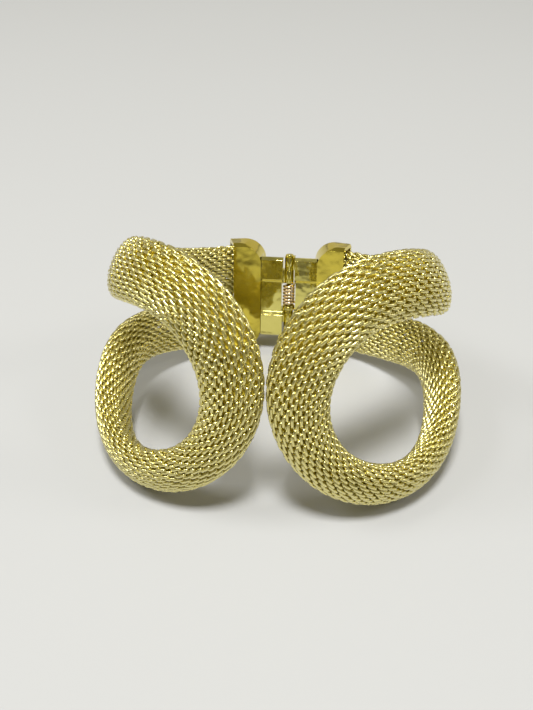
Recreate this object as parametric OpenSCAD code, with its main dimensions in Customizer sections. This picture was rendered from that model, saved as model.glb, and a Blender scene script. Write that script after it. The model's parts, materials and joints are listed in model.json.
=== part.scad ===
// Hinged mesh bangle.
// Two woven-wire tubes, each bent into a tall teardrop loop, wrap the wrist and nearly
// touch at the front. Their ends sit in two polished caps at the back, and the caps are
// joined by a sprung pin hinge, so the bangle opens at the front and closes by itself.
//
// The halves are laid out upright: +X to the right, +Y towards the hinge, +Z along the
// wrist. bangle_stands() then leans them back until the two loops and the two caps all
// touch the plane z = 0, which is how the bangle rests on a table.
// Every right-hand piece is drawn, and its left-hand twin is its mirror image.

/* [Wrist oval] */
// Half width of the oval that the tube centrelines follow round the wrist
oval_half_w = 31; // [28:0.5:35]
// Half depth of that oval, from its centre to the front or to the hinge pin
oval_half_d = 23.6; // [22:0.2:27]

/* [Mesh tube] */
// Half of the flattened tube's face width on the upper strand
tube_half_w = 6; // [5:0.1:6.4]
// How much narrower half of the lower strand is
lower_slimmer = 1.2; // [0:0.1:1.5]
// Half of the tube's thickness, outward from the wrist
tube_half_t = 3.05; // [2.75:0.05:3.4]
// Half width of the tube's squeezed ends inside the caps
end_half_w = 5.3; // [5:0.1:5.4]
// Half thickness of the squeezed ends
end_half_t = 1.6; // [1.5:0.05:1.65]
// Thickness of the woven wire wall
sleeve_wall = 0.9; // [0.7:0.1:1]

/* [Tube filling] */
// Room between the woven sleeve and the core tube inside it
core_clearance = 0.3; // [0.3:0.05:0.5]
// Radius of the core tube's bore
core_bore_r = 0.95; // [0.9:0.05:1]
// Radius of the formed wire that keeps the loop's shape
core_wire_r = 0.65; // [0.5:0.05:0.7]

/* [End caps] */
// Height of a cap along the wrist
cap_h = 23.8; // [23.4:0.2:25]
// Length of a cap's inner face, from the hinge leaf to the mouth
cap_len = 5.8; // [5.6:0.1:6.4]
// Thickness of a cap
cap_t = 4.8; // [4.7:0.1:5.2]
// Angle by which a cap turns away from the hinge to follow the wrist
cap_turn = 17; // [15:1:19]
// How far the cap's outer face reaches back over the hinge leaf
cap_reach = 1.9; // [1:0.1:2.6]
// Radius of the cap's shoulders on the hinge side
cap_shoulder = 4.8; // [3:0.1:5]
// Bevel round the cap's faces
cap_bevel = 0.7; // [0.3:0.1:0.8]
// Wall of the cap's two faces beside the pocket for the tube ends
cap_wall = 0.55; // [0.5:0.05:0.6]
// Wall of the cap above and below that pocket
cap_end_wall = 0.8; // [0.6:0.05:0.8]
// Depth of the pocket from the mouth
pocket_depth = 2.8; // [2.8:0.05:3]

/* [Hinge] */
// Height of the hinge leaves and of the knuckle stack
hinge_h = 17.4; // [17:0.2:18.4]
// Height of each knuckle
knuckle_h = 2.8; // [2.6:0.1:2.9]
// Radius of the knuckles
knuckle_r = 1; // [0.9:0.05:1]
// Radius of the hinge pin
pin_r = 0.5; // [0.4:0.05:0.5]
// Radial clearance of the pin in the knuckles
pin_clearance = 0.05; // [0.02:0.01:0.08]
// Distance from the pin's axis to the face of each leaf
leaf_face = 1.2; // [1.15:0.05:1.3]
// Distance from the pin's axis to a leaf beside the spring, where the leaf is set back
leaf_set_back = 1.45; // [1.4:0.05:1.6]
// Distance from the pin's axis to the seam between leaf and cap
leaf_seam = 5.8; // [5.4:0.1:6]
// Depth of a leaf's pads inward from the pin's axis
leaf_in = 1.7; // [1.5:0.05:1.8]
// Depth of a leaf outward from the pin's axis
leaf_out = 1.8; // [1.7:0.05:1.85]
// How far the middle of each leaf is sunk below its pads
leaf_recess = 0.7; // [0.4:0.05:0.8]
// Distance from the pin's axis inward to where a leaf is highest
leaf_crest = 0.7; // [0.5:0.05:1]
// How much lower a leaf is at its outer face than there
leaf_slope = 1.4; // [1:0.1:1.6]

/* [Spring] */
// Thickness of the spring wire
spring_wire = 0.54; // [0.45:0.01:0.56]
// Radius of the coil at the middle of its wire
spring_r = 1.03; // [0.95:0.01:1.05]
// Number of turns
spring_turns = 6; // [5:1:6]
// Length of the legs that reach into the leaves
spring_leg = 3.1; // [2.5:0.1:3.3]
// Height of the collar below the coil
collar_h = 0.8; // [0.6:0.05:0.9]
// Radius of the collar
collar_r = 1.3; // [1.1:0.05:1.3]

/* [Hidden] */
$fn = 48;

// Route of the right tube's centreline, as control points of a cubic B-spline:
// [degrees round the wrist from the front, height, shift outward, cant of the flat tube].
// It leaves the cap high up, comes round the side, drops at the front and goes back low.
ROUTE = [
    [187.5, 5.65, 0.6, 0],
    [162.5, 5.65, 0.8, 0],
    [137.5, 5.7, -0.1, -6],
    [111.0, 9.3, -3.7, -24],
    [71.5, 14.5, -2.6, -24],
    [34.5, 18.0, -1.0, -24],
    [13.5, 9.6, -0.3, -16],
    [7.5, -4.6, 0.4, -10],
    [20.5, -17.3, 1.1, -22],
    [48.5, -21.1, 1.7, -34],
    [77.5, -15.3, 0.8, -29],
    [102.0, -4.5, 0.4, -22],
    [137.5, -5.9, 0.1, -8],
    [162.5, -5.65, 0.6, 0],
    [187.5, -5.65, 1.0, 0],
];
SPANS = len(ROUTE) - 3;
RINGS = 50;
SIDES = 16;
CORE_SIDES = 12;
WIRE_SIDES = 8;
// Share of the tube's length that is fully squeezed at each end, inside the cap
SQUEEZED = 0.03;
// Share of the length over which it then widens
TAPER = 0.16;
// The core tube stops this share of the length short of each end, where the sleeve is full
CORE_INSET = 0.14;
CORE_RINGS = 38;

EPS = 0.01;
pale_gold = "khaki";

pin_y = oval_half_d;
// Gap between two knuckles, and the gap that leaves the seams visible
KNUCKLE_GAP = 0.1;
SEAM = 0.05;
// Centre height of the outer knuckles, of the right leaf, and of the inner ones, of the left
outer_level = (hinge_h - knuckle_h) / 2;
inner_level = outer_level - knuckle_h - KNUCKLE_GAP;
knuckle_bore_r = pin_r + pin_clearance;
head_r = 0.85;
head_h = 0.35;
// Foot of the collar and the heights of the first and last turn's middle
collar_z = KNUCKLE_GAP + knuckle_h / 2 - inner_level;
coil_low = collar_z + collar_h + SEAM + spring_wire / 2;
coil_high = inner_level - knuckle_h / 2 - SEAM - spring_wire / 2;
COIL_STEPS = 12;
COIL_SIDES = 6;
// Room round a spring leg in its leaf
leg_room = 0.2;
pad_half = 3.3;
pad_bevel = 0.5;

// ---- centreline and cross-section of a tube ----

function unit(v) = v / norm(v);
function smooth(f) = let (c = max(0, min(1, f))) c * c * (3 - 2 * c);
function basis(f) = [
    pow(1 - f, 3),
    3 * pow(f, 3) - 6 * f * f + 4,
    -3 * pow(f, 3) + 3 * f * f + 3 * f + 1,
    pow(f, 3),
] / 6;

// Control values at a share t of the route, from 0 at the upper end to 1 at the lower end
function route_at(t) =
    let (u = t * SPANS, i = min(floor(u), SPANS - 1))
    basis(u - i) * [ROUTE[i], ROUTE[i + 1], ROUTE[i + 2], ROUTE[i + 3]];

function outward(angle) = unit([sin(angle) / oval_half_w, -cos(angle) / oval_half_d, 0]);

function centre_at(t) =
    let (r = route_at(t))
    [oval_half_w * sin(r[0]), -oval_half_d * cos(r[0]), r[1]] + outward(r[0]) * r[2];

// Axes of the cross-section at t: [across the face, out of the face]
function axes_at(t) =
    let (
        h = 0.002,
        along = unit(centre_at(min(1, t + h)) - centre_at(max(0, t - h))),
        r = route_at(t),
        across = unit(cross(along, outward(r[0]))),
        out = cross(across, along),
        c = cos(r[3]),
        s = sin(r[3])
    )
    [across * c + out * s, out * c - across * s];

function end_blend(t) = smooth((min(t, 1 - t) - SQUEEZED) / TAPER);
function lower_blend(t) = smooth((t - 0.4) / 0.2);
function half_w_at(t) =
    end_half_w + (tube_half_w - lower_slimmer * lower_blend(t) - end_half_w) * end_blend(t);
function half_t_at(t) = end_half_t + (tube_half_t - end_half_t) * end_blend(t);

// An oval ring of points round the centreline, inset from the sleeve's outer face
function oval_ring(t, inset, sides) =
    let (c = centre_at(t), a = axes_at(t))
    [for (k = [0:sides - 1])
        c + a[0] * (half_w_at(t) - inset) * cos(360 * k / sides)
          + a[1] * (half_t_at(t) - inset) * sin(360 * k / sides)];

// A round ring of points about any centre, in the plane of two unit vectors
function round_ring(c, a, radius, sides) = [
    for (k = [0:sides - 1])
        c + radius * (a[0] * cos(360 * k / sides) + a[1] * sin(360 * k / sides))
];
function wire_ring(t, radius, sides) = round_ring(centre_at(t), axes_at(t), radius, sides);

function steps(from, to, count) = [for (i = [0:count - 1]) from + (to - from) * i / (count - 1)];
function flat_list(lists) = [for (one = lists) for (item = one) item];

// Triangles of a skin over rings of points, the first point having the index start
function skin(start, rings, sides) = [
    for (i = [0:rings - 2]) for (k = [0:sides - 1])
        let (
            a = start + i * sides + k,
            b = start + i * sides + (k + 1) % sides,
            c = b + sides,
            d = a + sides
        )
        each [[a, b, c], [a, c, d]]
];
function turned_over(faces) = [for (f = faces) [f[2], f[1], f[0]]];
function fan(start, sides) = [for (k = [1:sides - 2]) [start, start + k + 1, start + k]];

// Triangles of a flat ring between two rings of points, seen from the start of the sweep
function rim(outer_start, inner_start, sides) = [
    for (k = [0:sides - 1])
        let (
            a = outer_start + k,
            b = outer_start + (k + 1) % sides,
            c = inner_start + (k + 1) % sides,
            d = inner_start + k
        )
        each [[a, c, b], [a, d, c]]
];

module solid_sweep(rings) {
    n = len(rings);
    sides = len(rings[0]);
    polyhedron(
        flat_list(rings),
        concat(
            turned_over(skin(0, n, sides)),
            turned_over(fan(0, sides)),
            fan((n - 1) * sides, sides)
        )
    );
}

module hollow_sweep(outer, inner) {
    n = len(outer);
    sides = len(outer[0]);
    last = (n - 1) * sides;
    polyhedron(
        concat(flat_list(outer), flat_list(inner)),
        concat(
            turned_over(skin(0, n, sides)),
            skin(n * sides, n, sides),
            turned_over(rim(0, n * sides, sides)),
            rim(last, n * sides + last, sides)
        )
    );
}

// ---- resting place ----

cap_dir = [cos(cap_turn), -sin(cap_turn)];
cap_out = [sin(cap_turn), cos(cap_turn)];
cap_origin = [leaf_seam, pin_y - leaf_in - 0.2];

// Upright position of a point of the right cap from its length, depth and height
function cap_point(u, v, z) =
    let (p = cap_origin + cap_dir * u + cap_out * v)
    [p[0], p[1], z];

function lean_height(p, lean) = p[2] * cos(lean) - p[1] * sin(lean);
function lean_depth(p, lean) = p[1] * cos(lean) + p[2] * sin(lean);

TUBE_POINTS = flat_list([for (t = steps(0.1, 0.9, 81)) oval_ring(t, 0, 32)]);
// Points round the cap's two outer shoulders, before and behind the bevel
CAP_POINTS = [
    for (side = [-1, 1]) for (inset = [0, cap_bevel]) for (a = [0:3:90])
        let (r = cap_shoulder - inset)
        cap_point(
            r - cap_reach - r * sin(a),
            cap_t - cap_bevel + inset,
            side * (cap_h / 2 - inset - r + r * cos(a))
        )
];
function lowest(points, lean) = min([for (p = points) lean_height(p, lean)]);

// Lean at which the loops and the caps are level, found in a few corrections
function level_lean(lean, tries) =
    tries == 0
        ? lean
        : level_lean(
            lean + asin((lowest(CAP_POINTS, lean) - lowest(TUBE_POINTS, lean)) / (2 * oval_half_d)),
            tries - 1
        );

LEAN = level_lean(15, 6);
LIFT = -lowest(TUBE_POINTS, LEAN);
DEPTHS = [for (p = concat(TUBE_POINTS, CAP_POINTS)) lean_depth(p, LEAN)];

module bangle_stands() {
    translate([0, -(min(DEPTHS) + max(DEPTHS)) / 2, LIFT])
        rotate([-LEAN, 0, 0])
            children();
}

module left_twin() {
    mirror([1, 0, 0]) children();
}

// ---- tube ----

module mesh_sleeve() {
    shares = steps(0, 1, RINGS);
    hollow_sweep(
        [for (t = shares) oval_ring(t, 0, SIDES)],
        [for (t = shares) oval_ring(t, sleeve_wall, SIDES)]
    );
}

module core_tube() {
    shares = steps(CORE_INSET, 1 - CORE_INSET, CORE_RINGS);
    hollow_sweep(
        [for (t = shares) oval_ring(t, sleeve_wall + core_clearance, CORE_SIDES)],
        [for (t = shares) wire_ring(t, core_bore_r, CORE_SIDES)]
    );
}

module core_wire() {
    solid_sweep([for (t = steps(0, 1, RINGS)) wire_ring(t, core_wire_r, WIRE_SIDES)]);
}

// ---- end cap ----

// One thin slice of the cap at depth v: round shoulders on the hinge side, square at the mouth
module cap_slice(v, back, inset) {
    half_h = cap_h / 2 - inset;
    r = cap_shoulder - inset;
    translate([0, v, 0])
        rotate([90, 0, 0])
            linear_extrude(EPS, center = true)
                intersection() {
                    hull()
                        for (side = [-1, 1]) {
                            translate([back + r, side * (half_h - r)])
                                circle(r, $fn = 64);
                            translate([cap_len, side * (half_h - r)])
                                circle(r, $fn = 64);
                        }
                    translate([back, -half_h])
                        square([cap_len - back, 2 * half_h]);
                }
}

module end_cap() {
    difference() {
        translate([cap_origin[0], cap_origin[1], 0])
            rotate([0, 0, -cap_turn])
                difference() {
                    hull() {
                        cap_slice(0, 0, cap_bevel);
                        cap_slice(cap_bevel, 0, 0);
                        cap_slice(cap_t - cap_bevel, -cap_reach, 0);
                        cap_slice(cap_t, -cap_reach, cap_bevel);
                    }
                    translate([cap_len - pocket_depth, cap_wall, cap_end_wall - cap_h / 2])
                        cube([pocket_depth + 1, cap_t - 2 * cap_wall, cap_h - 2 * cap_end_wall]);
                }
        // Seat of the hinge leaf
        translate([0, pin_y, 0])
            rotate([90, 0, 90])
                linear_extrude(leaf_seam + SEAM)
                    leaf_block(leaf_in + 1, SEAM);
    }
}

// ---- hinge ----

// Outline of a leaf's block across its depth and height, sloped off behind, and grown by room
module leaf_block(front, room) {
    top = hinge_h / 2 + room;
    back = leaf_out + room;
    polygon([
        [-front, -top], [-leaf_crest, -top], [back, leaf_slope - top],
        [back, top - leaf_slope], [-leaf_crest, top], [-front, top]
    ]);
}

// The block with two bevelled pads and a sunk middle on its inner side
module leaf_outline() {
    top = hinge_h / 2;
    intersection() {
        leaf_block(leaf_in, 0);
        polygon(concat(
            [[leaf_out, -top], [leaf_out, top]],
            [[pad_bevel - leaf_in, top], [-leaf_in, top - pad_bevel]],
            [[-leaf_in, pad_half + leaf_recess], [leaf_recess - leaf_in, pad_half]],
            [[leaf_recess - leaf_in, -pad_half], [-leaf_in, -pad_half - leaf_recess]],
            [[-leaf_in, pad_bevel - top], [pad_bevel - leaf_in, -top]]
        ));
    }
}

module hinge_leaf(level, leg_z) {
    translate([0, pin_y, 0])
        difference() {
            union() {
                translate([leaf_face, 0, 0])
                    rotate([90, 0, 90])
                        linear_extrude(leaf_seam - leaf_face)
                            leaf_outline();
                for (side = [-1, 1])
                    translate([0, 0, side * level]) {
                        cylinder(h = knuckle_h, r = knuckle_r, center = true);
                        translate([0, -knuckle_r / 2, -knuckle_h / 2])
                            cube([leaf_face + EPS, knuckle_r * 1.5, knuckle_h]);
                    }
            }
            cylinder(h = hinge_h + 1, r = knuckle_bore_r, center = true);
            translate([0, -leaf_in - 1, collar_z - KNUCKLE_GAP])
                cube([leaf_set_back, leaf_in + leaf_out + 2, -2 * (collar_z - KNUCKLE_GAP)]);
            translate([
                leaf_face - 1,
                spring_r - spring_wire / 2 - leg_room,
                leg_z - spring_wire / 2 - leg_room
            ])
                cube([spring_leg + leg_room + 1 - leaf_face, spring_wire + 2 * leg_room,
                    spring_wire + 2 * leg_room]);
        }
}

module right_leaf() {
    hinge_leaf(outer_level, coil_low);
}

module left_leaf() {
    left_twin() hinge_leaf(inner_level, coil_high);
}

module pin() {
    translate([0, pin_y, 0]) {
        cylinder(h = hinge_h + 2 * SEAM + EPS, r = pin_r, center = true);
        for (side = [-1, 1])
            translate([0, 0, side * (hinge_h / 2 + SEAM + head_h / 2)])
                cylinder(h = head_h, r = head_r, center = true);
    }
}

module collar() {
    translate([0, pin_y, collar_z])
        difference() {
            cylinder(h = collar_h, r = collar_r);
            translate([0, 0, -1])
                cylinder(h = collar_h + 2, r = knuckle_bore_r);
        }
}

// Rings of points along the spring: right leg, turns from the foot up, left leg
function coil_ring(turn) =
    let (
        a = 90 + 360 * turn,
        out = [cos(a), sin(a), 0],
        z = coil_low + (coil_high - coil_low) * turn / spring_turns
    )
    round_ring(out * spring_r + [0, 0, z], [out, [0, 0, 1]], spring_wire / 2, COIL_SIDES);
function leg_ring(x, z) =
    round_ring([x, spring_r, z], [[0, 1, 0], [0, 0, 1]], spring_wire / 2, COIL_SIDES);

module spring() {
    translate([0, pin_y, 0])
        solid_sweep(concat(
            [leg_ring(spring_leg, coil_low)],
            [for (turn = steps(0, spring_turns, spring_turns * COIL_STEPS + 1)) coil_ring(turn)],
            [leg_ring(-spring_leg, coil_high)]
        ));
}

// ---- nodes ----

module right_mesh_sleeve() {
    color(pale_gold) bangle_stands() mesh_sleeve();
}

module left_mesh_sleeve() {
    color(pale_gold) bangle_stands() left_twin() mesh_sleeve();
}

module right_core_tube() {
    color("ivory") bangle_stands() core_tube();
}

module left_core_tube() {
    color("ivory") bangle_stands() left_twin() core_tube();
}

module right_core_wire() {
    color("silver") bangle_stands() core_wire();
}

module left_core_wire() {
    color("silver") bangle_stands() left_twin() core_wire();
}

module right_end_cap() {
    color("gold") bangle_stands() end_cap();
}

module left_end_cap() {
    color("gold") bangle_stands() left_twin() end_cap();
}

module right_hinge_leaf() {
    color("goldenrod") bangle_stands() right_leaf();
}

module left_hinge_leaf() {
    color("goldenrod") bangle_stands() left_leaf();
}

module hinge_pin() {
    color("gold") bangle_stands() pin();
}

module torsion_spring() {
    color("darkgoldenrod") bangle_stands() spring();
}

module spring_collar() {
    color("gold") bangle_stands() collar();
}

left_mesh_sleeve();
right_mesh_sleeve();
left_core_tube();
right_core_tube();
left_core_wire();
right_core_wire();
left_end_cap();
right_end_cap();
left_hinge_leaf();
right_hinge_leaf();
hinge_pin();
torsion_spring();
spring_collar();
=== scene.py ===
"""Hinged mesh bangle: the looks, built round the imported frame.

Each half's woven sleeve is made of real wire: rings of flattened coil, each hooked into the
next, laid along the tube's route. Caps, leaves and collar are their CAD nodes with softened
edges. Filling, pin and spring are made anew, and the core wires are the CAD's own. Design
values are in millimetres and degrees, as in the part's source. Camera, floor and lights are
in metres.
"""

import json
import math

import bmesh
import bpy
import numpy as np
from mathutils import Matrix, Vector


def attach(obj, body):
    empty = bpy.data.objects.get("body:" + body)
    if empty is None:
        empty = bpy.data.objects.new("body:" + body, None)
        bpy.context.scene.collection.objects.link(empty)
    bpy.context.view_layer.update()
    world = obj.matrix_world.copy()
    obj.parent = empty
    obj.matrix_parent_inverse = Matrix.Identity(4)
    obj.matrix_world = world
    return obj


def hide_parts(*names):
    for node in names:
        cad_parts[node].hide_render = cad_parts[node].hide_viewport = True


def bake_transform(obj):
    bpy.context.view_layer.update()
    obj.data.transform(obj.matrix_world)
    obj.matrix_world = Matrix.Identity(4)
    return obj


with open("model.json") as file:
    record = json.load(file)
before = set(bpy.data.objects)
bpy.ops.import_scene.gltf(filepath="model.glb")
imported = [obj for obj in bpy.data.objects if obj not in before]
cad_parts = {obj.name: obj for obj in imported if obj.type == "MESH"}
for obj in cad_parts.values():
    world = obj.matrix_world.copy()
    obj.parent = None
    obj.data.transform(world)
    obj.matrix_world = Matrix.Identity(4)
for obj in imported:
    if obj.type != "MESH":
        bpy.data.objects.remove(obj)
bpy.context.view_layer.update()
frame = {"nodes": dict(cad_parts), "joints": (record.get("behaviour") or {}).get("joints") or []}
MM = 0.001

# ---------------------------------------------------------------- design, as in the part

OVAL_HALF_W = 31.0  # half width of the oval that the tubes follow round the wrist
OVAL_HALF_D = 23.6  # half depth of that oval, from its centre to the hinge pin
TUBE_HALF_W = 6.0  # half the flattened tube's face width on the upper strand
LOWER_SLIMMER = 1.2  # how much narrower half of the lower strand is
LOWER_FROM = 0.4  # share of the route where the strand begins to get narrower
LOWER_OVER = 0.2  # share of the route over which it does
TUBE_HALF_T = 3.05  # half the tube's thickness
END_HALF_W = 5.3  # the same half sizes where the tube is squeezed inside its cap
END_HALF_T = 1.6
SLEEVE_WALL = 0.9
CORE_CLEARANCE = 0.3  # room between the sleeve and its filling
CORE_BORE_R = 0.95
SQUEEZED = 0.03  # share of the route that is fully squeezed at each end
TAPER = 0.16  # share of the route over which the tube then widens
CORE_INSET = 0.14  # share of the route at each end that has no filling

# Control rows of the right tube's route: degrees round the wrist from the front, height,
# shift outward, cant of the flat tube
ROUTE = np.array(
    [
        [187.5, 5.65, 0.6, 0],
        [162.5, 5.65, 0.8, 0],
        [137.5, 5.7, -0.1, -6],
        [111.0, 9.3, -3.7, -24],
        [71.5, 14.5, -2.6, -24],
        [34.5, 18.0, -1.0, -24],
        [13.5, 9.6, -0.3, -16],
        [7.5, -4.6, 0.4, -10],
        [20.5, -17.3, 1.1, -22],
        [48.5, -21.1, 1.7, -34],
        [77.5, -15.3, 0.8, -29],
        [102.0, -4.5, 0.4, -22],
        [137.5, -5.9, 0.1, -8],
        [162.5, -5.65, 0.6, 0],
        [187.5, -5.65, 1.0, 0],
    ]
)
SPANS = len(ROUTE) - 3

SPRING_WIRE = 0.54
SPRING_R = 1.03  # to the middle of the wire
SPRING_TURNS = 6
SPRING_LEG = 3.1

PIN_R = 0.5
PIN_HALF = 8.75  # half the pin's length between its heads
HEAD_R = 0.85
HEAD_H = 0.35

# ---------------------------------------------------------------- weave

COIL_STEP = 1.05  # distance between neighbouring coils along the tube
COIL_TURNS = 16  # turns of one coil round the tube
COIL_HALF_W = 0.82  # half the width of the flattened coil, along the tube
COIL_HALF_H = 0.28  # half its height, across the sleeve's wall, and the radius of its bends
COIL_CROWN = 0.03  # how much further out the middles of the flat strokes lie
WIRE_R = 0.305
WIRE_SIDES = 6
END_ROOM = 1.1  # from each end of the tube to the middle of its last coil
WEAVE_SEED = 7
SPACING_WANDER = 0.10  # unevenness of the coils' places, as a share of their spacing
HEIGHT_WANDER = 0.03  # how deep the outer strokes sink unevenly into the sleeve
PHASE_WANDER = 0.03  # unevenness of a coil's turn round the tube, as a share of its pitch

# ---------------------------------------------------------------- camera

CAMERA_DISTANCE = 0.1803  # from the middle of the wrist oval
CAMERA_ELEVATION = math.radians(21.6)  # above the oval's own plane
CAMERA_YAW = math.radians(4.95)  # round the bangle, from straight in front of it
CAMERA_ROLL = math.radians(1.23)
CAMERA_LENS_MM = 48.17
CAMERA_SENSOR_MM = 36.0
CAMERA_SHIFT = (-0.0166, -0.0265)


# ---------------------------------------------------------------- standing place

HINGE = frame["joints"][0]
PIN_AXIS = Vector(HINGE["axis"]).normalized()
PIN_POINT = Vector(HINGE["pos_m"])
LEAN = math.atan2(PIN_AXIS.y, PIN_AXIS.z)
STAND_TURN = Matrix.Rotation(-LEAN, 4, "X")
STAND = Matrix.Translation(PIN_POINT - STAND_TURN @ Vector((0, OVAL_HALF_D * MM, 0))) @ STAND_TURN


def standing(points_mm, side=1):
    """Upright design points in millimetres, stood up and in metres. Side -1 mirrors them."""
    turn = np.array(STAND.to_3x3())
    points = np.asarray(points_mm) * (side * MM, MM, MM)
    return points @ turn.T + np.array(STAND.translation)


# ---------------------------------------------------------------- tube route


def unit(v):
    return v / np.linalg.norm(v, axis=-1, keepdims=True)


def smooth(f):
    c = np.clip(f, 0, 1)
    return c * c * (3 - 2 * c)


def route_at(t):
    """Control values at shares t of the route, from its upper end to its lower end."""
    u = np.clip(t, 0, 1) * SPANS
    i = np.minimum(u.astype(int), SPANS - 1)
    f = (u - i)[:, None]
    weights = [(1 - f) ** 3, 3 * f**3 - 6 * f * f + 4, -3 * f**3 + 3 * f * f + 3 * f + 1, f**3]
    return sum(w * ROUTE[i + k] for k, w in enumerate(weights)) / 6


def outward(angle):
    """Direction square to the wrist oval."""
    return unit(np.stack([np.sin(angle) / OVAL_HALF_W, -np.cos(angle) / OVAL_HALF_D, 0 * angle], -1))


def centre_at(t):
    """Points of the tube's centreline, upright."""
    row = route_at(t)
    angle = np.radians(row[:, 0])
    on_oval = np.stack([OVAL_HALF_W * np.sin(angle), -OVAL_HALF_D * np.cos(angle), row[:, 1]], -1)
    return on_oval + outward(angle) * row[:, 2:3]


def axes_at(t):
    """Across the tube's face and out of its face."""
    step = 0.002
    along = unit(centre_at(np.minimum(1, t + step)) - centre_at(np.maximum(0, t - step)))
    row = route_at(t)
    across = unit(np.cross(along, outward(np.radians(row[:, 0]))))
    out = np.cross(across, along)
    cant = np.radians(row[:, 3:4])
    return across * np.cos(cant) + out * np.sin(cant), out * np.cos(cant) - across * np.sin(cant)


def half_sizes_at(t):
    """Half the width and half the thickness of the tube's section."""
    ends = smooth((np.minimum(t, 1 - t) - SQUEEZED) / TAPER)
    lower = smooth((t - LOWER_FROM) / LOWER_OVER)
    half_w = END_HALF_W + (TUBE_HALF_W - LOWER_SLIMMER * lower - END_HALF_W) * ends
    return half_w, END_HALF_T + (TUBE_HALF_T - END_HALF_T) * ends


class Tube:
    """The right tube's route, tabulated by length along its centreline in millimetres."""

    ROWS = 1601
    COLUMNS = 257
    ARC_SAMPLES = 721

    def __init__(self):
        t = np.linspace(0, 1, self.ROWS)
        self.centre = centre_at(t)
        steps = np.linalg.norm(np.diff(self.centre, axis=0), axis=1)
        self.lengths = np.concatenate([[0], np.cumsum(steps)])
        self.length = self.lengths[-1]
        self.across, self.out = axes_at(t)
        self.half_w, self.half_t = half_sizes_at(t)
        self.angles = self.even_angles()

    def even_angles(self):
        """For each row, the section's angles at even steps of arc length round it."""
        a = np.linspace(0, 2 * np.pi, self.ARC_SAMPLES)
        shares = np.linspace(0, 1, self.COLUMNS)
        table = np.empty((self.ROWS, self.COLUMNS))
        for i, (w, h) in enumerate(zip(self.half_w, self.half_t)):
            chords = np.hypot(np.diff(w * np.cos(a)), np.diff(h * np.sin(a)))
            so_far = np.concatenate([[0], np.cumsum(chords)])
            table[i] = np.interp(shares, so_far / so_far[-1], a)
        return table

    def row(self, s):
        """The row at or before each length s, and how far on it is towards the next row."""
        f = np.interp(s, self.lengths, np.arange(self.ROWS))
        i = np.minimum(f.astype(int), self.ROWS - 2)
        return i, f - i

    def mixed(self, table, i, f):
        """Values of a table at the rows i, a share f of the way to the rows after them."""
        f = f.reshape(f.shape + (1,) * (table.ndim - 1))
        return table[i] * (1 - f) + table[i + 1] * f

    def points(self, s, share, inset):
        """Upright points at length s, a share of the way round the section, inset from its skin."""
        i, f = self.row(s)
        turns = np.floor(share)
        column = (share - turns) * (self.COLUMNS - 1)
        j = np.minimum(column.astype(int), self.COLUMNS - 2)
        g = column - j
        row = self.angles[i, j] * (1 - g) + self.angles[i, j + 1] * g
        following = self.angles[i + 1, j] * (1 - g) + self.angles[i + 1, j + 1] * g
        angle = row * (1 - f) + following * f
        half_w = self.mixed(self.half_w, i, f) - inset
        half_t = self.mixed(self.half_t, i, f) - inset
        return (
            self.mixed(self.centre, i, f)
            + self.mixed(self.across, i, f) * (half_w * np.cos(angle))[..., None]
            + self.mixed(self.out, i, f) * (half_t * np.sin(angle))[..., None]
        )


TUBE = Tube()

# ---------------------------------------------------------------- meshes

WELD = 0.002 * MM  # points closer than this are one point


def add_object(name, data):
    """A new object in the scene."""
    new = bpy.data.objects.new(name, data)
    bpy.context.scene.collection.objects.link(new)
    return new


def mesh_object(name, points, quads):
    """A smoothly shaded object from arrays of points and of four-cornered faces."""
    mesh = bpy.data.meshes.new(name)
    mesh.vertices.add(len(points))
    mesh.vertices.foreach_set("co", np.asarray(points, np.float32).ravel())
    mesh.loops.add(quads.size)
    mesh.loops.foreach_set("vertex_index", quads.astype(np.int32).ravel())
    mesh.polygons.add(len(quads))
    mesh.polygons.foreach_set("loop_start", np.arange(0, quads.size, 4, dtype=np.int32))
    mesh.update(calc_edges=True)
    mesh.validate()
    mesh.shade_smooth()
    return add_object(name, mesh)


def grid_quads(rings, sides, closed, flip):
    """Faces over rings of points. Closed joins the last ring to the first; flip turns them over."""
    ring = np.arange(rings if closed else rings - 1)
    side = np.arange(sides)
    i, k = np.meshgrid(ring, side, indexing="ij")
    ahead = (i + 1) % rings
    beside = (k + 1) % sides
    quads = np.stack([i * sides + k, ahead * sides + k, ahead * sides + beside, i * sides + beside], -1)
    quads = quads.reshape(-1, 4)
    return quads[:, ::-1] if flip else quads


def ring_points(path, reference, radius, sides, closed):
    """Round sections along one or more paths, kept square to a reference direction."""
    if closed:
        along = np.roll(path, -1, axis=-2) - np.roll(path, 1, axis=-2)
    else:
        along = np.gradient(path, axis=-2)
    along = unit(along)
    first = unit(reference - along * np.sum(reference * along, -1, keepdims=True))
    second = np.cross(along, first)
    a = 2 * np.pi * np.arange(sides) / sides
    return (
        path[..., None, :]
        + radius * np.cos(a)[:, None] * first[..., None, :]
        + radius * np.sin(a)[:, None] * second[..., None, :]
    )


# ---------------------------------------------------------------- woven sleeve


def coil_places():
    """Middle of each coil along the tube, with the slight unevenness of hand-bent mesh."""
    count = int(round((TUBE.length - 2 * END_ROOM) / COIL_STEP)) + 1
    even = np.linspace(END_ROOM, TUBE.length - END_ROOM, count)
    wander = np.random.default_rng(WEAVE_SEED).normal(size=count)
    wander[[0, -1]] = 0
    return even + SPACING_WANDER * COIL_STEP * wander


# One turn of the coil, begun at the far end of its outer stroke: place along the tube as a
# share of the flat stroke's half length, bend angle in degrees, share of the pitch so far.
# The outer strokes run almost straight along the tube, so the bends carry most of the pitch.
TURN = np.array(
    [
        [1, 0, 0.0],
        [0, 0, 0.035],
        [-1, 0, 0.07],
        [-1, 45, 0.14],
        [-1, 90, 0.23],
        [-1, 135, 0.32],
        [-1, 180, 0.40],
        [0, 180, 0.535],
        [1, 180, 0.67],
        [1, 225, 0.75],
        [1, 270, 0.84],
        [1, 315, 0.93],
    ]
)


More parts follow.
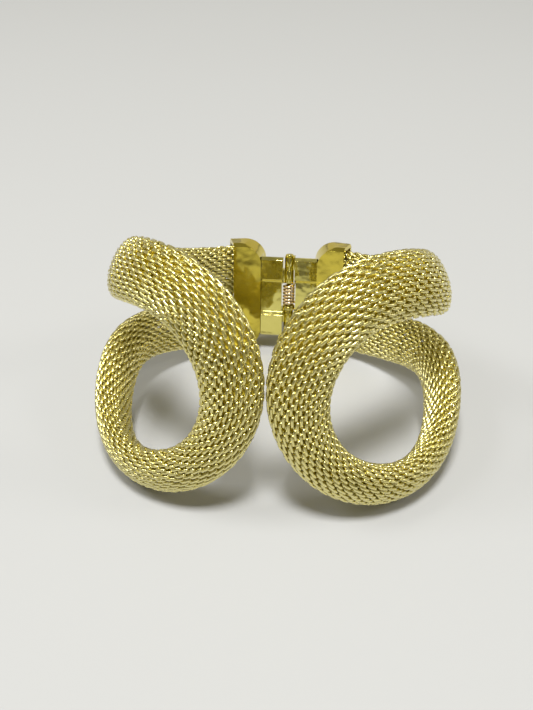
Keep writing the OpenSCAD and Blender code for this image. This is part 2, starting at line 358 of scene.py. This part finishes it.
def flattened_turn():
    """One turn's places along the tube, heights and shares of the pitch."""
    bend = np.radians(TURN[:, 1])
    along = TURN[:, 0] * (COIL_HALF_W - COIL_HALF_H) - COIL_HALF_H * np.sin(bend)
    height = COIL_HALF_H * np.cos(bend) + COIL_CROWN * (TURN[:, 0] == 0)
    return along, height, TURN[:, 2]


def coil_paths(places, first, hand):
    """Closed paths of the coils, upright, and the direction round the tube at each point."""
    look_ahead = 0.002
    rng = np.random.default_rng(WEAVE_SEED + 1 + first)
    along, height, run = flattened_turn()
    number = first + np.arange(len(places))
    stagger = 0.5 * (number % 2) + PHASE_WANDER * rng.normal(size=len(places))
    share = (np.arange(COIL_TURNS)[:, None] + run[None, :]).ravel()
    share = hand * (share[None, :] + stagger[:, None]) / COIL_TURNS
    sink = np.abs(HEIGHT_WANDER * rng.normal(size=(len(places), COIL_TURNS)).repeat(len(run), axis=1))
    s = places[:, None] + np.tile(along, COIL_TURNS)[None, :]
    height = np.tile(height, COIL_TURNS)[None, :]
    inset = WIRE_R + COIL_HALF_H - height + sink * (height > 0)
    shape = s.shape
    share = np.broadcast_to(share, shape)
    path = TUBE.points(s.ravel(), share.ravel(), inset.ravel()).reshape(shape + (3,))
    ahead = TUBE.points(s.ravel(), share.ravel() + look_ahead, inset.ravel())
    return path, unit(ahead.reshape(shape + (3,)) - path)


def woven_piece(name, side, places, first):
    """The wire of the coils at some places along the tube, the first of them numbered first."""
    path, around = coil_paths(places, first, hand=side)
    points = ring_points(path, around, WIRE_R, WIRE_SIDES, closed=True)
    coils, steps = path.shape[:2]
    one = grid_quads(steps, WIRE_SIDES, closed=True, flip=side < 0)
    offsets = np.arange(coils) * steps * WIRE_SIDES
    quads = (one[None] + offsets[:, None, None]).reshape(-1, 4)
    return mesh_object(name, standing(points.reshape(-1, 3), side), quads)


def woven_sleeve(side_name, side):
    """The sleeve's wire in two pieces, its upper strand's and its lower strand's."""
    places = coil_places()
    middle = len(places) // 2
    return [
        woven_piece(f"{side_name}_upper_woven_wire", side, places[:middle], 0),
        woven_piece(f"{side_name}_lower_woven_wire", side, places[middle:], middle),
    ]


def core_filler(side_name, side):
    """The soft tube inside the sleeve, with its bore."""
    rings = 150
    sides = 48
    start = TUBE.lengths[int(CORE_INSET * (TUBE.ROWS - 1))]
    end = TUBE.lengths[int((1 - CORE_INSET) * (TUBE.ROWS - 1))]
    s = np.linspace(start, end, rings)
    grid_s = s[:, None].repeat(sides, 1).ravel()
    share = (np.arange(sides) / sides)[None, :].repeat(rings, 0).ravel()
    outer = TUBE.points(grid_s, share, np.full(grid_s.shape, SLEEVE_WALL + CORE_CLEARANCE))
    i, f = TUBE.row(grid_s)
    centre = TUBE.mixed(TUBE.centre, i, f)
    inner = centre + CORE_BORE_R * unit(outer - centre)
    outer = outer.reshape(rings, sides, 3)
    inner = inner.reshape(rings, sides, 3)[::-1]
    skin = np.concatenate([outer, inner])
    quads = grid_quads(2 * rings, sides, closed=True, flip=side > 0)
    return mesh_object(f"{side_name}_core_filler", standing(skin.reshape(-1, 3), side), quads)


# ---------------------------------------------------------------- hard pieces

FLAT_ANGLE = math.radians(1)  # faces that meet at less than this are one face
SHARP_ANGLE = math.radians(28)  # edges sharper than this are rounded
EDGE_SEGMENTS = 3
CAP_EDGE = 0.12  # width of the rounding on the caps' edges
HINGE_EDGE = 0.06  # the same on the leaves and the collar


def refined(cad_node, name, width_mm):
    """A copy of a CAD node with its edges rounded, to stand for it."""
    mesh = bmesh.new()
    mesh.from_mesh(frame["nodes"][cad_node].data)
    bmesh.ops.remove_doubles(mesh, verts=mesh.verts, dist=WELD)
    bmesh.ops.dissolve_limit(mesh, angle_limit=FLAT_ANGLE, verts=mesh.verts, edges=mesh.edges)
    edges = [e for e in mesh.edges if e.is_manifold and e.calc_face_angle(0) > SHARP_ANGLE]
    bmesh.ops.bevel(
        mesh, geom=edges, offset=width_mm * MM, segments=EDGE_SEGMENTS, profile=0.5,
        affect="EDGES", clamp_overlap=True
    )
    for face in mesh.faces:
        face.smooth = True
    data = bpy.data.meshes.new(name)
    mesh.to_mesh(data)
    mesh.free()
    piece = add_object(name, data)
    flatten_large_faces(piece)
    return piece


def flatten_large_faces(piece):
    """Keeps the shading of large faces flat, so that only the rounded edges turn the light."""
    favour_large_faces = 100
    piece.modifiers.new("weight", "WEIGHTED_NORMAL").weight = favour_large_faces
    scene_graph = bpy.context.evaluated_depsgraph_get()
    weighted = bpy.data.meshes.new_from_object(piece.evaluated_get(scene_graph))
    weighted.name = piece.name
    piece.modifiers.clear()
    piece.data = weighted


def lathe(name, profile_mm, sides=64):
    """A turned piece about the pin's axis, from radius and height pairs."""
    profile = np.array(profile_mm)
    a = 2 * np.pi * np.arange(sides) / sides
    x = profile[:, :1] * np.cos(a)
    y = profile[:, :1] * np.sin(a) + OVAL_HALF_D
    z = profile[:, 1:].repeat(sides, 1)
    points = np.stack([x, y, z], -1).reshape(-1, 3)
    quads = grid_quads(len(profile), sides, closed=False, flip=True)
    piece = mesh_object(name, standing(points), quads)
    mesh = bmesh.new()
    mesh.from_mesh(piece.data)
    bmesh.ops.remove_doubles(mesh, verts=mesh.verts, dist=WELD)
    bmesh.ops.recalc_face_normals(mesh, faces=mesh.faces)
    mesh.to_mesh(piece.data)
    mesh.free()
    piece.data.shade_smooth()
    return piece


def arc(cx, cy, r, start, end, count=7):
    """Points of an arc between two angles in degrees, as radius and height pairs."""
    return [
        (cx + r * math.cos(math.radians(a)), cy + r * math.sin(math.radians(a)))
        for a in np.linspace(start, end, count)
    ]


def pin_piece():
    """A straight pin with a domed head at each end."""
    rim = 0.12
    dome_r = 0.6
    top = PIN_HALF + HEAD_H
    pole = (0.0001, top)
    half = [(PIN_R, 0), (PIN_R, PIN_HALF), (HEAD_R - rim, PIN_HALF)]
    half += arc(HEAD_R - rim, PIN_HALF + rim, rim, -90, 0)[1:]
    half += arc(HEAD_R - dome_r, PIN_HALF + rim, dome_r, 0, 60, 8)[1:]
    half = [(r, min(z, top)) for r, z in half] + [pole]
    mirrored = [(r, -z) for r, z in reversed(half[1:])]
    return lathe("pin", mirrored + half)


def spring_piece(coil_low, coil_high):
    """The wound wire with a straight leg at each end."""
    sides = 14
    steps = 28
    leg_steps = 8
    leg_end = 0.1
    turn = np.linspace(0, SPRING_TURNS, SPRING_TURNS * steps + 1)
    a = np.pi / 2 + 2 * np.pi * turn
    z = coil_low + (coil_high - coil_low) * turn / SPRING_TURNS
    coil = np.stack([SPRING_R * np.cos(a), SPRING_R * np.sin(a), z], -1)
    leg = np.linspace(SPRING_LEG, leg_end, leg_steps)
    start = np.stack([leg, 0 * leg + SPRING_R, 0 * leg + coil_low], -1)
    end = np.stack([-leg[::-1], 0 * leg + SPRING_R, 0 * leg + coil_high], -1)
    path = np.concatenate([start, coil, end]) + (0, OVAL_HALF_D, 0)
    points = ring_points(path, np.array([0.0, 0.0, 1.0]), SPRING_WIRE / 2, sides, closed=False)
    quads = grid_quads(len(path), sides, closed=False, flip=False)
    piece = mesh_object("spring", standing(points.reshape(-1, 3)), quads)
    mesh = bmesh.new()
    mesh.from_mesh(piece.data)
    bmesh.ops.holes_fill(mesh, edges=mesh.edges, sides=0)
    bmesh.ops.recalc_face_normals(mesh, faces=mesh.faces)
    mesh.to_mesh(piece.data)
    mesh.free()
    piece.data.shade_smooth()
    return piece


# ---------------------------------------------------------------- materials

NOISE_LOW = 0.3  # noise values between which the roughness goes from its lowest to its highest
NOISE_HIGH = 0.7
COAT_IOR = 2.0  # of the clear coat that gives the woven wire its pale highlights


def node(tree, kind, **values):
    new = tree.nodes.new(kind)
    for key, value in values.items():
        setattr(new, key, value)
    return new


def new_material(name):
    """A new material, with its node tree and the tree's shader."""
    material = bpy.data.materials.new(name)
    material.use_nodes = True
    tree = material.node_tree
    return material, tree, tree.nodes["Principled BSDF"]


def noise(tree, scale, detail):
    """Noise over the object's own coordinates."""
    place = node(tree, "ShaderNodeTexCoord")
    texture = node(tree, "ShaderNodeTexNoise")
    texture.inputs["Scale"].default_value = scale
    texture.inputs["Detail"].default_value = detail
    tree.links.new(place.outputs["Object"], texture.inputs["Vector"])
    return texture.outputs["Fac"]


def map_range(tree, value, start, end, low=0.0, high=1.0):
    """Goes from low to high while the value goes from start to end."""
    mapped = node(tree, "ShaderNodeMapRange")
    mapped.inputs["From Min"].default_value = start
    mapped.inputs["From Max"].default_value = end
    mapped.inputs["To Min"].default_value = low
    mapped.inputs["To Max"].default_value = high
    tree.links.new(value, mapped.inputs["Value"])
    return mapped.outputs["Result"]


def drifting_tone(tree, shader, dark, light, scale, detail=2.0):
    """Lets the base colour drift between two tones, and returns the noise that it follows."""
    drift = noise(tree, scale, detail)
    tone = node(tree, "ShaderNodeMix", data_type="RGBA")
    tone.inputs["A"].default_value = (*dark, 1)
    tone.inputs["B"].default_value = (*light, 1)
    tree.links.new(drift, tone.inputs["Factor"])
    tree.links.new(tone.outputs["Result"], shader.inputs["Base Color"])
    return drift


def metal(name, dark, light, rough, grain, coat_rough=None):
    """Plated metal whose tone and roughness drift a little over the surface."""
    material, tree, shader = new_material(name)
    shader.inputs["Metallic"].default_value = 1.0
    if coat_rough is not None:
        shader.inputs["Coat Weight"].default_value = 1.0
        shader.inputs["Coat IOR"].default_value = COAT_IOR
        shader.inputs["Coat Roughness"].default_value = coat_rough
    drift = drifting_tone(tree, shader, dark, light, grain, detail=3.0)
    roughness = map_range(tree, drift, NOISE_LOW, NOISE_HIGH, *rough)
    tree.links.new(roughness, shader.inputs["Roughness"])
    return material


def make_uneven(material, strength, scale, depth_mm):
    """Gives a polished surface its soft dents."""
    tree = material.node_tree
    relief = node(tree, "ShaderNodeBump")
    relief.inputs["Strength"].default_value = strength
    relief.inputs["Distance"].default_value = depth_mm * MM
    tree.links.new(noise(tree, scale, detail=2.0), relief.inputs["Height"])
    tree.links.new(relief.outputs["Normal"], tree.nodes["Principled BSDF"].inputs["Normal"])


def filler_material():
    material, tree, shader = new_material("core_filler")
    shader.inputs["Roughness"].default_value = 0.45
    drifting_tone(tree, shader, dark=(0.86, 0.66, 0.03), light=(0.92, 0.73, 0.05), scale=300.0)
    return material


def floor_material():
    material, tree, shader = new_material("floor_paper")
    shader.inputs["Roughness"].default_value = 0.75
    shader.inputs["Specular IOR Level"].default_value = 0.25
    drifting_tone(tree, shader, dark=(0.49, 0.49, 0.475), light=(0.51, 0.51, 0.497), scale=6.0)
    return material


def dress(piece, material):
    """Gives a piece its material."""
    piece.data.materials.clear()
    piece.data.materials.append(material)


# ---------------------------------------------------------------- camera, floor and light


def add_camera():
    """The view from the front and above, aimed at the middle of the wrist oval."""
    level = Vector((-math.sin(CAMERA_YAW), math.cos(CAMERA_YAW), 0))
    right = Vector((math.cos(CAMERA_YAW), math.sin(CAMERA_YAW), 0))
    ahead = level * math.cos(CAMERA_ELEVATION) - Vector((0, 0, math.sin(CAMERA_ELEVATION)))
    up = right.cross(ahead)
    rolled_right = right * math.cos(CAMERA_ROLL) + up * math.sin(CAMERA_ROLL)
    rolled_up = up * math.cos(CAMERA_ROLL) - right * math.sin(CAMERA_ROLL)
    basis = Matrix((rolled_right, rolled_up, -ahead)).transposed().to_4x4()
    basis.translation = -ahead * CAMERA_DISTANCE
    data = bpy.data.cameras.new("camera")
    data.lens = CAMERA_LENS_MM
    data.sensor_width = CAMERA_SENSOR_MM
    data.shift_x, data.shift_y = CAMERA_SHIFT
    data.clip_start = 0.01
    camera = add_object("camera", data)
    camera.matrix_world = STAND @ basis
    bpy.context.scene.camera = camera


def add_floor():
    half = 2.5
    mesh = bpy.data.meshes.new("floor")
    corners = [(-half, -half, 0), (half, -half, 0), (half, half, 0), (-half, half, 0)]
    mesh.from_pydata(corners, [], [(0, 1, 2, 3)])
    mesh.materials.append(floor_material())
    floor = add_object("floor", mesh)


def area_light(name, azimuth, elevation, distance, size, watts, colour):
    """A soft light aimed at the bangle. Azimuth 0 is the front and 90 the right."""
    a = math.radians(azimuth)
    e = math.radians(elevation)
    place = Vector((math.sin(a) * math.cos(e), -math.cos(a) * math.cos(e), math.sin(e))) * distance
    data = bpy.data.lights.new(name, "AREA")
    data.shape = "RECTANGLE"
    data.size, data.size_y = size
    data.energy = watts
    data.color = colour
    light = add_object(name, data)
    light.location = place
    light.rotation_euler = (-place).to_track_quat("-Z", "Y").to_euler()


def add_world():
    """A room that is bright low down behind the bangle and darker in front of it and above."""
    world = bpy.data.worlds.new("studio")
    world.use_nodes = True
    tree = world.node_tree
    place = node(tree, "ShaderNodeTexCoord")
    split = node(tree, "ShaderNodeSeparateXYZ")
    tree.links.new(place.outputs["Generated"], split.inputs["Vector"])
    depth = map_range(tree, split.outputs["Y"], start=-0.35, end=0.9)
    height = map_range(tree, split.outputs["Z"], start=0.15, end=0.75)
    low = node(tree, "ShaderNodeMix", data_type="RGBA")
    low.inputs["A"].default_value = (0.15, 0.145, 0.13, 1)
    low.inputs["B"].default_value = (0.56, 0.525, 0.38, 1)
    tree.links.new(depth, low.inputs["Factor"])
    sky = node(tree, "ShaderNodeMix", data_type="RGBA")
    sky.inputs["B"].default_value = (0.205, 0.195, 0.155, 1)
    tree.links.new(height, sky.inputs["Factor"])
    tree.links.new(low.outputs["Result"], sky.inputs["A"])
    back = tree.nodes["Background"]
    tree.links.new(sky.outputs["Result"], back.inputs["Color"])
    bpy.context.scene.world = world


def add_lights():
    """One above, one high on the left and a weaker one on the right."""
    area_light(
        "ceiling", azimuth=0, elevation=79, distance=0.80, size=(0.20, 0.17),
        watts=6.4, colour=(0.985, 0.99, 1.0)
    )
    area_light(
        "window", azimuth=-88, elevation=52, distance=0.9, size=(0.30, 0.26),
        watts=2.1, colour=(0.97, 0.985, 1.0)
    )
    area_light(
        "right_lamp", azimuth=92, elevation=38, distance=1.0, size=(0.26, 0.26),
        watts=1.3, colour=(1.0, 0.99, 0.97)
    )


# ---------------------------------------------------------------- build


def make_looks():
    """Each slot's material."""
    looks = {
        "woven_wire": metal(
            "woven_gold_wire", dark=(0.71, 0.615, 0.145), light=(0.80, 0.70, 0.20),
            rough=(0.24, 0.32), grain=900.0, coat_rough=0.15
        ),
        "polished_gold": metal(
            "polished_gold", dark=(0.64, 0.50, 0.05), light=(0.78, 0.63, 0.085),
            rough=(0.06, 0.13), grain=250.0
        ),
        "hinge_gold": metal(
            "hinge_gold", dark=(0.66, 0.58, 0.13), light=(0.84, 0.74, 0.20),
            rough=(0.03, 0.09), grain=400.0
        ),
        "spring_wire": metal(
            "spring_wire", dark=(0.78, 0.60, 0.34), light=(0.86, 0.70, 0.44),
            rough=(0.12, 0.22), grain=900.0
        ),
        "core_steel": metal(
            "core_steel", dark=(0.55, 0.55, 0.56), light=(0.66, 0.66, 0.67),
            rough=(0.25, 0.4), grain=600.0
        ),
        "core_plastic": filler_material(),
    }
    make_uneven(looks["polished_gold"], strength=0.5, scale=200.0, depth_mm=0.25)
    make_uneven(looks["hinge_gold"], strength=0.6, scale=240.0, depth_mm=0.18)
    return looks


def build_half(side_name, side, looks):
    """One half of the bangle but for the hinge's own pieces. Side is -1 on the left."""
    body = f"{side_name}_half"
    for piece in woven_sleeve(side_name, side):
        dress(piece, looks["woven_wire"])
        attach(piece, body)
        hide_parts(f"{side_name}_mesh_sleeve")
    core = core_filler(side_name, side)
    dress(core, looks["core_plastic"])
    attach(core, body)
    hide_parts(f"{side_name}_core_tube")
    for part, edge, slot in (
        ("end_cap", CAP_EDGE, "polished_gold"),
        ("hinge_leaf", HINGE_EDGE, "hinge_gold"),
    ):
        cad_node = f"{side_name}_{part}"
        piece = refined(cad_node, f"{cad_node}_polished", edge)
        dress(piece, looks[slot])
        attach(piece, body)
        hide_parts(cad_node)
    dress(frame["nodes"][f"{side_name}_core_wire"], looks["core_steel"])


def spring_levels():
    """Heights of the coil's first and last turn along the pin, from the CAD spring's box."""
    to_upright = STAND.inverted()
    points = [to_upright @ v.co for v in frame["nodes"]["torsion_spring"].data.vertices]
    heights = [p.z / MM for p in points]
    return min(heights) + SPRING_WIRE / 2, max(heights) - SPRING_WIRE / 2


def build_hinge(looks):
    """Pin and collar, which go with the right half, and the spring, which winds between both."""
    pin = pin_piece()
    dress(pin, looks["hinge_gold"])
    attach(pin, "right_half")
    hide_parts("hinge_pin")

    collar = refined("spring_collar", "collar", HINGE_EDGE)
    dress(collar, looks["hinge_gold"])
    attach(collar, "right_half")
    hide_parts("spring_collar")

    low, high = spring_levels()
    spring = spring_piece(low, high)
    dress(spring, looks["spring_wire"])
    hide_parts("torsion_spring")
    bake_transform(spring)


def build():
    looks = make_looks()
    build_half("left", -1, looks)
    build_half("right", 1, looks)
    build_hinge(looks)


add_camera()
add_floor()
add_world()
add_lights()
build()
bpy.context.scene.view_settings.view_transform = "Standard"
bpy.context.scene.view_settings.gamma = 1.12
